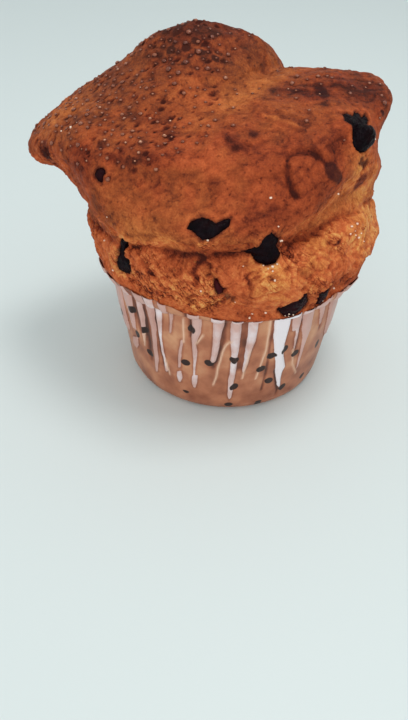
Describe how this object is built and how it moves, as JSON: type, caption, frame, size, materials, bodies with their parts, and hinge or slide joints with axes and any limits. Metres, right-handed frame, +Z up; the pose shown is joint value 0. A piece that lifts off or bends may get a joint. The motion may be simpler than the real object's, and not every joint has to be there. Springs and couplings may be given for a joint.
{
  "type": "berry muffin in paper case",
  "caption": "Baked muffin with a browned, two-lobed cap that spills over to one side, dark berries in the crust, and a pleated paper case.",
  "frame": {"origin": "centre of the paper case's flat underside", "axes": "+Z up; -Y is the front, with the two largest berries; the cap spills over towards -X and its second lobe is towards +X"},
  "size_m": [0.0786, 0.0681, 0.0766],
  "materials": {
    "paper": "thin white baking paper, soaked pink-brown where it clings, with small printed dark brown ovals",
    "crumb": "baked crust, satin on the browned cap and rough on the torn collar, with melted sugar beads",
    "berry": "baked berry skin, wrinkled, blue-black and moist"
  },
  "bodies": {
    "root": {"paper_case": "paper", "crumb": "crumb", "berry_front_left": "berry", "berry_front_right": "berry", "berry_crown": "berry", "berry_left": "berry", "berry_lip": "berry", "berry_collar": "berry", "berry_rim_front": "berry", "berry_rim_right": "berry", "berry_back_right": "berry", "berry_back_cap": "berry", "berry_back_left": "berry"}
  },
  "joints": []
}
